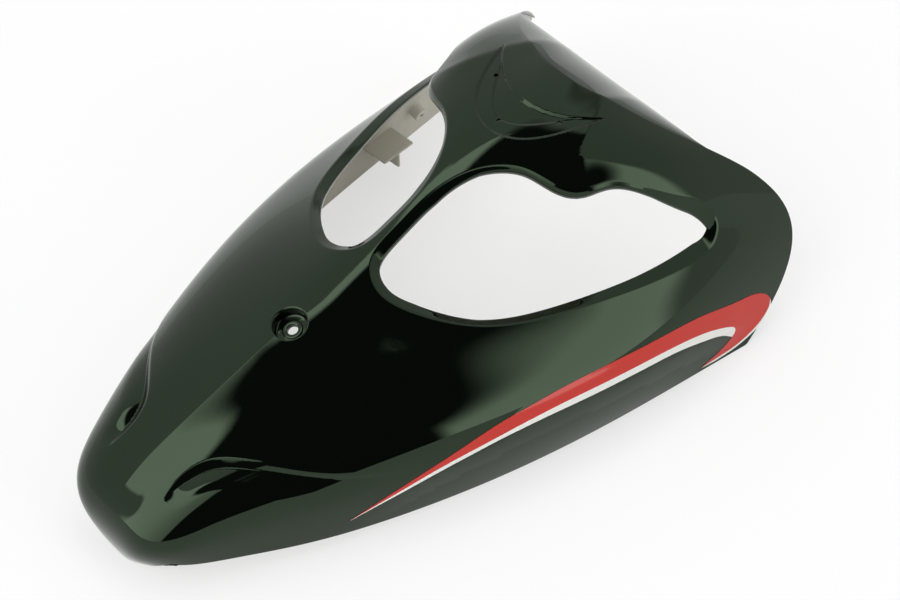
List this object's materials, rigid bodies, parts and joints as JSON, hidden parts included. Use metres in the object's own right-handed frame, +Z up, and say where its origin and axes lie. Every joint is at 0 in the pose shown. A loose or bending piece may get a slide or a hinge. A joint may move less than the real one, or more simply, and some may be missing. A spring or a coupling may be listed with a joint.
{
  "type": "scooter front cowl",
  "caption": "Tapering moulded front cowl for a scooter, with headlight openings either side of a narrow ridge, a sunk screw cup, a badge recess and striped flanks, open at the back.",
  "frame": {"origin": "middle of the footprint, on the surface that the cowl lies on", "axes": "+X to the cowl's right as the picture shows it, +Y from the nose to the top edge, +Z up through the outer skin"},
  "size_m": [0.342, 0.536, 0.187],
  "materials": {
    "black_lacquer": "gloss black lacquer on moulded plastic, unpainted inside",
    "stripe_film": "printed film under clear lacquer"
  },
  "bodies": {
    "root": {"front_cowl": "black_lacquer", "side_stripe_right": "stripe_film", "side_stripe_left": "stripe_film"}
  },
  "joints": []
}
